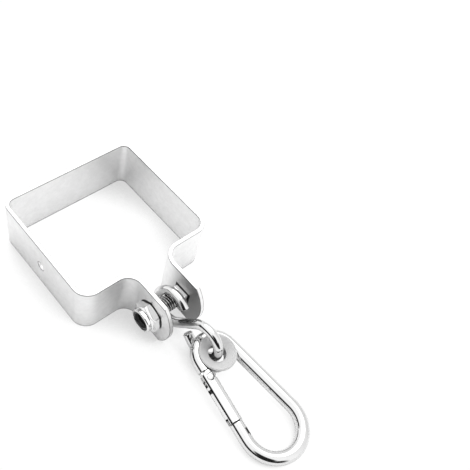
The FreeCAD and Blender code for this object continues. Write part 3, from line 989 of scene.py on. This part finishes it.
def threadedShank(values, axisZ, startX, endX):
    reach = endX - startX
    pitch = values["pitch"]
    count = int(reach / pitch * values["stepsPerPitch"])
    deepest = values["crest"] - values["root"]
    rings = []
    for i in range(count + 1):
        x = startX + reach * i / count
        limit = values["endRadius"] + (x - startX)
        fade = min(1.0, max(0.0, (endX - x) / pitch))

        def radiusAt(turn):
            cut = threadDepth(values, x / pitch - turn) * deepest * fade
            return min(limit, values["crest"] - cut)

        rings.append(turnedRing(x, axisZ, values["stepsRound"], radiusAt))
    return ringMesh("shank", rings, False)


def squareNeck(values, axisZ, startX, endX):
    made = bmesh.new()
    bmesh.ops.create_cube(made, size=1.0)
    reach = endX - startX
    for vert in made.verts:
        vert.co.x = startX + (vert.co.x + 0.5) * reach
        vert.co.y = vert.co.y * values["neckSide"]
        vert.co.z = axisZ + vert.co.z * values["neckSide"]
    bmesh.ops.bevel(
        made,
        geom=made.edges[:],
        offset=values["neckRound"],
        segments=values["neckRoundSteps"],
        profile=0.5,
        affect="EDGES",
    )
    mesh = bpy.data.meshes.new("neck")
    made.to_mesh(mesh)
    made.free()
    return mesh


def domedHead(values, axisZ, seatX, radius):
    height = values["headHeight"]
    sphere = (radius ** 2 + height ** 2) / (2.0 * height)
    profile = [
        (seatX, radius * values["undersideShare"]),
        (seatX, radius - values["headEdge"]),
        (seatX + values["rimRise"], radius - values["rimInset"]),
    ]
    topAngle = math.asin(radius / sphere)
    count = values["domeRings"]
    for i in range(1, count + 1):
        angle = topAngle * (1.0 - i / (count + 0.5))
        x = seatX + height - sphere + sphere * math.cos(angle)
        profile.append((x, sphere * math.sin(angle)))
    steps = values["headStepsRound"]
    rings = [turnedRing(x, axisZ, steps, lambda turn: size) for x, size in profile]
    return ringMesh("head", rings, False)


def carriageBolt(values):
    low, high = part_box("carriage_bolt")
    axisZ = (low.z + high.z) / 2.0
    seatX = high.x - values["headHeight"]
    neckX = seatX - values["neckLength"]
    overlap = values["overlap"]
    headRadius = (high.z - low.z) / 2.0 - values["headTrim"]
    shank = threadedShank(values, axisZ, low.x, neckX + overlap)
    neck = squareNeck(values, axisZ, neckX, seatX + overlap)
    head = domedHead(values, axisZ, seatX, headRadius)
    mesh = joinMeshes("threadedBolt", [shank, neck, head])
    smoothByAngle(mesh, values["smoothDegrees"])
    piece = meshPiece("threadedBolt", mesh, zincBolt, "clamp")
    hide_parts("carriage_bolt")
    print("bolt:", len(mesh.polygons), "faces")


carriageBolt(boltValues)


# lock nut: eased hexagon, coned shoulder, turned-in collar

nutValues = {
    "acrossFlats": 0.0170,
    "turnDegrees": 50.0,
    "edgeEase": 0.00022,
    "bodyHeight": 0.0059,
    "height": 0.0084,
    "seatCone": 0.0009,
    "seatMouth": 0.0005,
    "seatInset": 0.0004,
    "seatSteps": 6,
    "sideSteps": 6,
    "coneDrop": 0.0011,
    "coneSteps": 14,
    "collarRadius": 0.0075,
    "collarFoot": 0.0006,
    "collarRound": 0.0010,
    "collarRoundSteps": 8,
    "lipRadius": 0.0063,
    "lipDepth": 0.0005,
    "lipEase": 0.00020,
    "lipFlare": 0.00006,
    "lipFlareDepth": 0.00008,
    "insertRadius": 0.0067,
    "boreRadius": 0.00505,
    "roundMargin": 0.0001,  # rings wider than the collar by more than this are hexagons
    "stepsRound": 288,
    "smoothDegrees": 28.0,
}


def softLower(first, second, ease):
    # the lower of two values, rounded off where they meet
    gap = max(ease - abs(first - second), 0.0) / ease
    return min(first, second) - gap * gap * ease * 0.25


def flatRadius(flat, angle):
    # distance to a flat at this angle from its middle
    return flat / max(0.2, math.cos(angle))


def hexRadius(values, angle):
    flat = values["acrossFlats"] / 2.0
    sixth = math.pi / 3.0
    turned = (angle - math.radians(values["turnDegrees"])) % sixth
    first = flatRadius(flat, turned - sixth / 2.0)
    if turned > sixth / 2.0:
        other = flatRadius(flat, turned - sixth * 1.5)
    else:
        other = flatRadius(flat, turned + sixth / 2.0)
    return softLower(first, other, values["edgeEase"])


def nutProfile(values):
    # heights above the seat and radii, from the bore round the outside and back to it
    flat = values["acrossFlats"] / 2.0
    corner = values["acrossFlats"] / math.sqrt(3.0)
    top = values["height"]
    body = values["bodyHeight"]
    seat = values["seatCone"]
    shoulder = body - values["coneDrop"]
    collar = values["collarRadius"]
    points = [(0.0, values["boreRadius"]), (0.0, flat - values["seatMouth"])]
    inset, steps = values["seatInset"], values["seatSteps"]
    for i in range(steps + 1):
        points.append((seat * i / steps, flat - inset + (corner - flat + inset) * i / steps))
    steps = values["sideSteps"]
    for i in range(1, steps + 1):
        points.append((seat + (shoulder - seat) * i / steps, corner))
    steps = values["coneSteps"]
    for i in range(1, steps + 1):
        share = i / steps
        height = body - values["coneDrop"] * (1.0 - share)
        points.append((height, corner + (collar - corner) * share))
    points.append((body + values["collarFoot"], collar))
    ease, steps = values["collarRound"], values["collarRoundSteps"]
    for i in range(steps + 1):
        angle = math.pi / 2.0 * i / steps
        points.append((top - ease + ease * math.sin(angle), collar - ease + ease * math.cos(angle)))
    lip, insert = values["lipRadius"], values["insertRadius"]
    points += [
        (top - values["lipFlareDepth"], lip + values["lipFlare"]),
        (top - values["lipEase"], lip),
        (top - values["lipDepth"], lip),
        (top - values["lipDepth"], insert),
        (body, insert),
        (body, values["boreRadius"]),
    ]
    return points


def lockNut(values):
    low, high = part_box("lock_nut")
    boltLow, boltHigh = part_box("carriage_bolt")
    axisZ = (boltLow.z + boltHigh.z) / 2.0
    widest = values["collarRadius"] + values["roundMargin"]
    rings = []
    for along, limit in nutProfile(values):

        def radiusAt(turn):
            if limit <= widest:
                return limit
            return softLower(limit, hexRadius(values, turn * fullTurn), values["edgeEase"])

        rings.append(turnedRing(high.x - along, axisZ, values["stepsRound"], radiusAt))
    mesh = ringMesh("collarNut", rings, True)
    smoothByAngle(mesh, values["smoothDegrees"])
    piece = meshPiece("collarNut", mesh, zincNut, "clamp")
    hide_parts("lock_nut")
    print("nut:", len(mesh.polygons), "faces")


lockNut(nutValues)


# plastic finishes

nylonFinish = {
    "thinTone": grey(0.54),
    "thickTone": grey(0.64),
    "patchScale": 180.0,
    "patchContrast": 1.2,
    "creviceReach": 0.005,
    "creviceAmount": 0.9,
    "creviceShadeTone": grey(0.12),
    "roughLow": 0.28,
    "roughHigh": 0.42,
    "bumpStrength": 0.12,
    "bumpDepth": 0.00005,
    "glow": 0.20,
    "glowDepth": 0.003,
}
# painted shade: the insert is near black, standing in for the shade deep in the nut's hole
shadedInsertFinish = dict(
    nylonFinish,
    thinTone=(0.012, 0.012, 0.014, 1.0),
    thickTone=(0.030, 0.030, 0.034, 1.0),
    glow=0.0,
)


def nylonMaterial(name, values):
    material, tree, shader = newMaterial(name)
    mottle = placeGroup(
        tree, mottleGroup, (-900, 200),
        Scale=values["patchScale"], Contrast=values["patchContrast"],
    )
    crevice = placeGroup(
        tree, creviceGroup, (-600, 500),
        Reach=values["creviceReach"], Amount=values["creviceAmount"],
    )
    patches = mottle.outputs["Patches"]
    color = mixTones(tree, (-600, 250), patches, values["thinTone"], values["thickTone"])
    # painted shade in the crevices, such as the bushing's bore
    color = mixTones(tree, (-300, 350), crevice.outputs["Mask"], color, values["creviceShadeTone"])
    tree.links.new(color, shader.inputs["Base Color"])
    rough = rampNode(
        tree, (-600, -50), patches, 0.0, 1.0, values["roughLow"], values["roughHigh"], soft=False
    )
    tree.links.new(rough, shader.inputs["Roughness"])
    bump = addNode(tree, "ShaderNodeBump", (-300, -300))
    setInputs(bump, Strength=values["bumpStrength"], Distance=values["bumpDepth"])
    tree.links.new(mottle.outputs["Height"], bump.inputs["Height"])
    tree.links.new(bump.outputs["Normal"], shader.inputs["Normal"])
    setInputs(
        shader,
        Subsurface_Weight=values["glow"],
        Subsurface_Radius=(1.0, 1.0, 1.0),
        Subsurface_Scale=values["glowDepth"],
    )
    return material


plasticNodes = {
    "bushing": nylonMaterial("milkyNylon", nylonFinish),
    "nylon_insert": nylonMaterial("shadedInsertNylon", shadedInsertFinish),
}
for nodeName, finish in plasticNodes.items():
    dressNode(nodeName, finish)
print("plastic finishes on", len(plasticNodes), "nodes")
